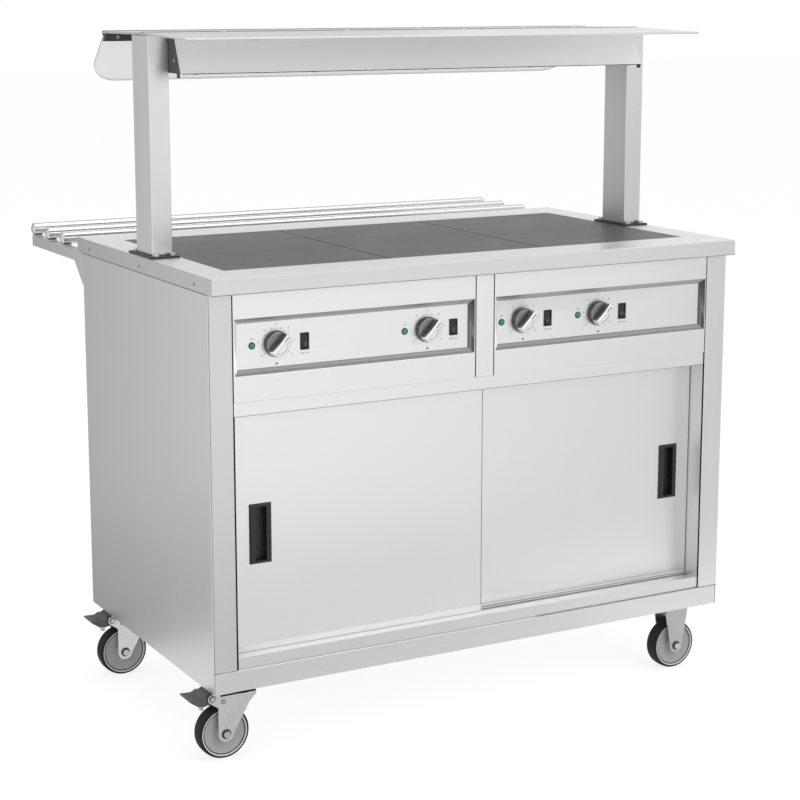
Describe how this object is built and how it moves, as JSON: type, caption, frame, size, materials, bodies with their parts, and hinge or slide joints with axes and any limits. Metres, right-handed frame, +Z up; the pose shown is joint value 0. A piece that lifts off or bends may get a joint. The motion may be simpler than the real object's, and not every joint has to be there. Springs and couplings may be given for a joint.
{
  "type": "heated servery trolley",
  "caption": "Stainless heated servery trolley: hot cupboard with sliding doors, ceramic hot plates, lamp gantry with sneeze glass, tubular tray slide and braked castors.",
  "frame": {"origin": "on the floor, under the middle of the overall box (tray slide and brake pedals included)", "axes": "+Z up; +X to the right and +Y away from a person who stands at the control panels, so the tray slide is at +Y"},
  "size_m": [1.161, 0.98, 1.3141],
  "materials": {
    "steel": "satin brushed stainless sheet",
    "steel_bright": "fine brushed stainless front sheet",
    "steel_dull": "plain mill-finish sheet inside",
    "tube_steel": "polished stainless tube",
    "ceramic_glass": "dark grey ceramic glass, smooth",
    "clear_glass": "clear toughened glass",
    "black_plastic": "black moulded plastic, fine grain",
    "black_gloss": "glossy black rocker",
    "lens_green": "green translucent lens",
    "knob": "dark knob with a bright grip",
    "zinc": "bright zinc-plated pressing",
    "pedal": "dark grey coated steel",
    "black_paint": "black powder coat",
    "wheel_grey": "grey nylon wheel centre",
    "rubber_grey": "dark grey rubber tread",
    "bolt": "zinc-plated bolts",
    "quartz": "quartz tubes with ceramic holders",
    "heater": "heater sheath, heat-toned steel"
  },
  "bodies": {
    "cabinet": {"side_panel_left": "steel", "side_panel_right": "steel", "back_panel": "steel", "base_frame": "steel", "cupboard_floor": "steel_dull", "cupboard_ceiling": "steel_dull", "inner_shelf": "steel_dull", "mullion": "steel", "control_panel_left": "steel_bright", "control_panel_right": "steel_bright", "door_header": "steel", "door_track": "steel", "worktop": "steel", "hot_plates": "ceramic_glass", "plate_heaters": "heater", "cupboard_heater": "heater", "thermostats": "black_plastic", "switch_housings": "black_plastic", "pilot_lamps": "lens_green", "cable_gland": "black_plastic", "castor_plates": "zinc", "castor_bolts": "bolt", "fixed_forks": "zinc", "axles_right": "bolt", "gantry_posts": "steel", "post_bases": "black_paint", "gantry_shelf": "steel", "lamp_housing": "steel", "housing_caps": "black_paint", "heat_lamps": "quartz", "glass_clamp": "black_paint", "sneeze_glass": "clear_glass", "tray_rails": "tube_steel", "tray_brackets": "steel"},
    "left_door": {"door_left": "steel_bright", "door_pull_left": "black_plastic"},
    "right_door": {"door_right": "steel_bright", "door_pull_right": "black_plastic"},
    "knob_1": {"knob_1": "knob"},
    "knob_2": {"knob_2": "knob"},
    "knob_3": {"knob_3": "knob"},
    "knob_4": {"knob_4": "knob"},
    "rocker_1": {"rocker_1": "black_gloss"},
    "rocker_2": {"rocker_2": "black_gloss"},
    "rocker_3": {"rocker_3": "black_gloss"},
    "rocker_4": {"rocker_4": "black_gloss"},
    "castor_front": {"swivel_fork_front": "zinc", "axle_front_left": "bolt"},
    "castor_rear": {"swivel_fork_rear": "zinc", "axle_rear_left": "bolt"},
    "pedal_front": {"brake_pedal_front": "pedal"},
    "pedal_rear": {"brake_pedal_rear": "pedal"},
    "wheel_front_left": {"wheel_front_left": "wheel_grey", "tyre_front_left": "rubber_grey"},
    "wheel_rear_left": {"wheel_rear_left": "wheel_grey", "tyre_rear_left": "rubber_grey"},
    "wheel_front_right": {"wheel_front_right": "wheel_grey", "tyre_front_right": "rubber_grey"},
    "wheel_rear_right": {"wheel_rear_right": "wheel_grey", "tyre_rear_right": "rubber_grey"}
  },
  "joints": [
    {"name": "left_door_slide", "type": "slide", "parent": "cabinet", "child": "left_door", "axis": [1, 0, 0], "range_m": [0, 0.505]},
    {"name": "right_door_slide", "type": "slide", "parent": "cabinet", "child": "right_door", "axis": [-1, 0, 0], "range_m": [0, 0.505]},
    {"name": "knob_1_turn", "type": "hinge", "parent": "cabinet", "child": "knob_1", "pos_m": [-0.4115, -0.454, 0.7715], "axis": [0, 1, 0], "range_deg": [0, 270]},
    {"name": "knob_2_turn", "type": "hinge", "parent": "cabinet", "child": "knob_2", "pos_m": [-0.1035, -0.454, 0.7715], "axis": [0, 1, 0], "range_deg": [0, 270]},
    {"name": "knob_3_turn", "type": "hinge", "parent": "cabinet", "child": "knob_3", "pos_m": [0.1055, -0.454, 0.7715], "axis": [0, 1, 0], "range_deg": [0, 270]},
    {"name": "knob_4_turn", "type": "hinge", "parent": "cabinet", "child": "knob_4", "pos_m": [0.2785, -0.454, 0.7715], "axis": [0, 1, 0], "range_deg": [0, 270]},
    {"name": "rocker_1_tilt", "type": "hinge", "parent": "cabinet", "child": "rocker_1", "pos_m": [-0.356, -0.452, 0.7715], "axis": [1, 0, 0], "range_deg": [0, 18]},
    {"name": "rocker_2_tilt", "type": "hinge", "parent": "cabinet", "child": "rocker_2", "pos_m": [-0.048, -0.452, 0.7715], "axis": [1, 0, 0], "range_deg": [0, 18]},
    {"name": "rocker_3_tilt", "type": "hinge", "parent": "cabinet", "child": "rocker_3", "pos_m": [0.161, -0.452, 0.7715], "axis": [1, 0, 0], "range_deg": [0, 18]},
    {"name": "rocker_4_tilt", "type": "hinge", "parent": "cabinet", "child": "rocker_4", "pos_m": [0.334, -0.452, 0.7715], "axis": [1, 0, 0], "range_deg": [0, 18]},
    {"name": "castor_front_swivel", "type": "hinge", "parent": "cabinet", "child": "castor_front", "pos_m": [-0.4745, -0.406, 0.13], "axis": [0, 0, 1], "continuous": true},
    {"name": "wheel_front_left_spin", "type": "hinge", "parent": "castor_front", "child": "wheel_front_left", "pos_m": [-0.5095, -0.406, 0.05], "axis": [0, 1, 0], "continuous": true},
    {"name": "pedal_front_press", "type": "hinge", "parent": "castor_front", "child": "pedal_front", "pos_m": [-0.5355, -0.406, 0.121], "axis": [0, -1, 0], "range_deg": [0, 25]},
    {"name": "castor_rear_swivel", "type": "hinge", "parent": "cabinet", "child": "castor_rear", "pos_m": [-0.4745, 0.106, 0.13], "axis": [0, 0, 1], "continuous": true},
    {"name": "wheel_rear_left_spin", "type": "hinge", "parent": "castor_rear", "child": "wheel_rear_left", "pos_m": [-0.5095, 0.106, 0.05], "axis": [0, 1, 0], "continuous": true},
    {"name": "pedal_rear_press", "type": "hinge", "parent": "castor_rear", "child": "pedal_rear", "pos_m": [-0.5355, 0.106, 0.121], "axis": [0, -1, 0], "range_deg": [0, 25]},
    {"name": "wheel_front_right_spin", "type": "hinge", "parent": "cabinet", "child": "wheel_front_right", "pos_m": [0.5075, -0.406, 0.05], "axis": [0, 1, 0], "continuous": true},
    {"name": "wheel_rear_right_spin", "type": "hinge", "parent": "cabinet", "child": "wheel_rear_right", "pos_m": [0.5075, 0.106, 0.05], "axis": [0, 1, 0], "continuous": true}
  ]
}
